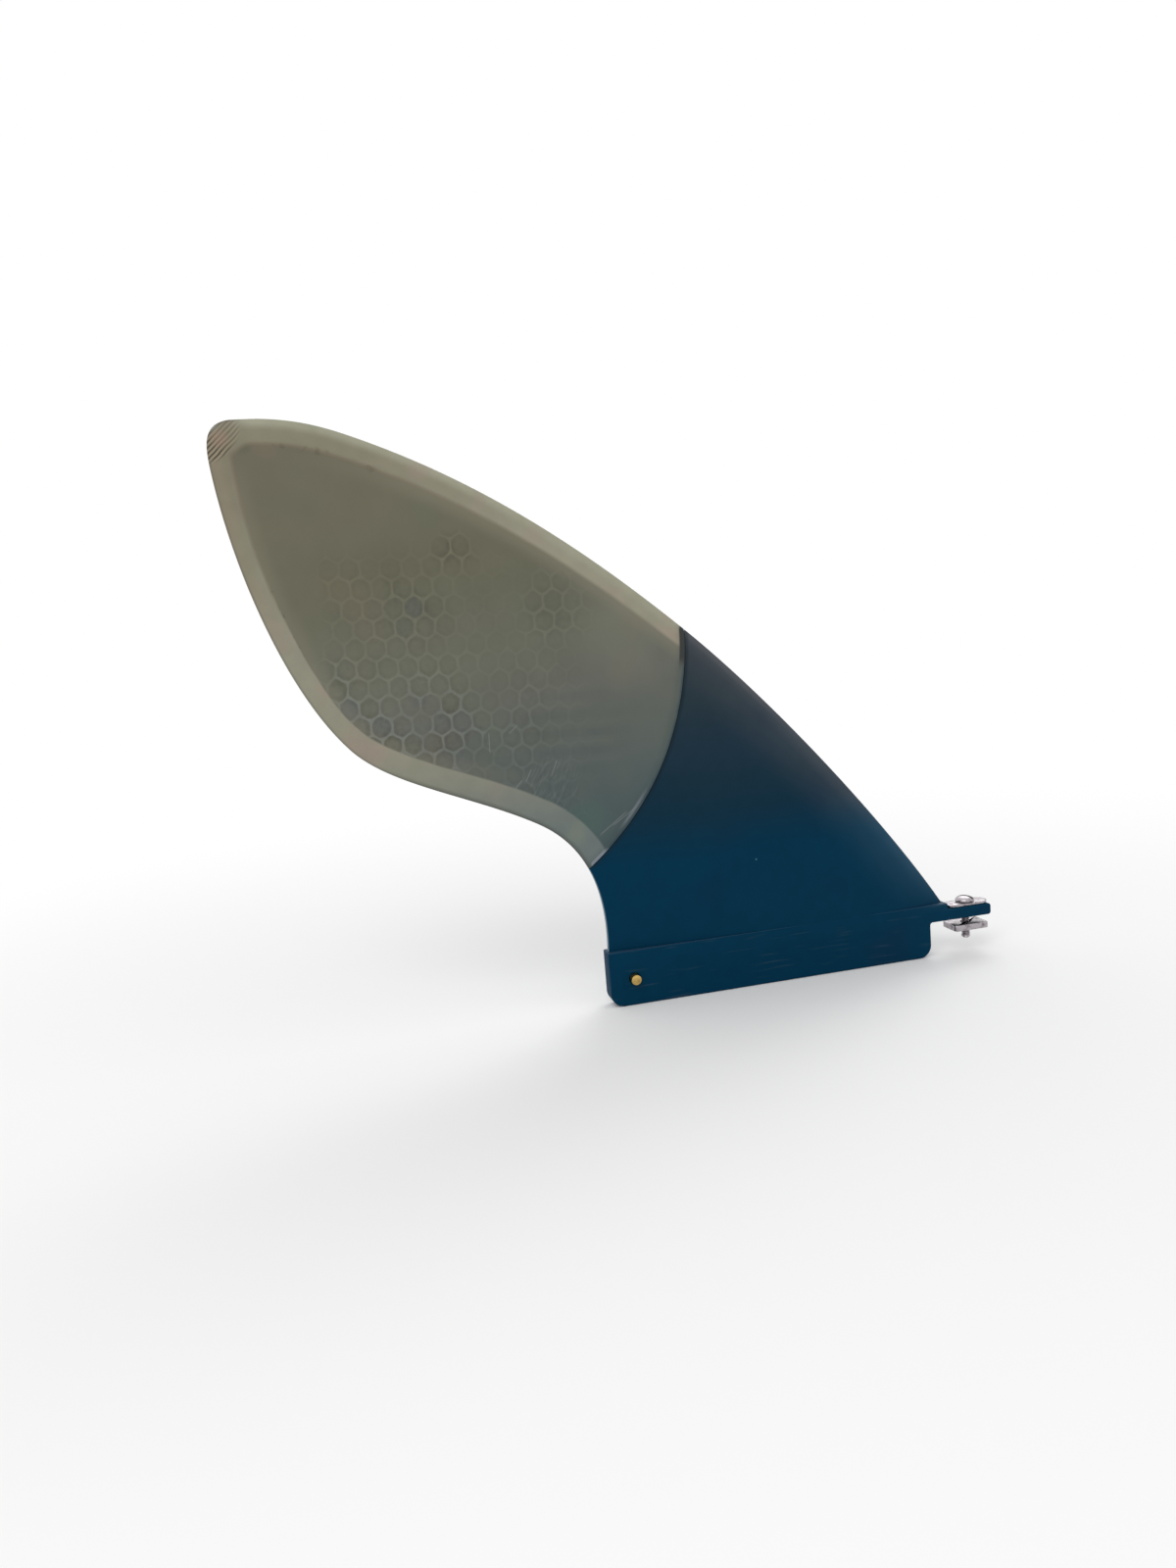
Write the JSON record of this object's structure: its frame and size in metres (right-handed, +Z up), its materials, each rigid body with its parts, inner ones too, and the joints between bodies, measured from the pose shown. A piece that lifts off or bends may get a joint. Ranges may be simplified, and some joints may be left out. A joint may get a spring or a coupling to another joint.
{
  "type": "surfboard fin",
  "caption": "Raked centre fin with a glass blade moulded over a honeycomb core, a navy solid root and a box tab with its pin, screw and plates.",
  "frame": {"origin": "on the tab's flat foot, in the blade's middle plane, 83.2 mm ahead of the blade's trailing foot and 85.8 mm behind its leading foot", "axes": "+X towards the board's nose, +Z up from the board along the blade, Y across the blade's thickness"},
  "size_m": [0.3412, 0.0156, 0.2665],
  "materials": {
    "glass_laminate": "translucent olive-grey glass laminate, satin gloss",
    "core_sheet": "grey-brown resin-soaked core walls",
    "navy_laminate": "deep navy glass laminate, satin",
    "brass": "drawn rod, cut ends",
    "stainless_steel": "bright, lightly worn"
  },
  "bodies": {
    "root": {"glass_blade": "glass_laminate", "honeycomb_core": "core_sheet", "root_section": "navy_laminate", "cross_pin": "brass", "fin_screw": "stainless_steel", "washer_plate": "stainless_steel", "nut_plate": "stainless_steel"}
  },
  "joints": []
}
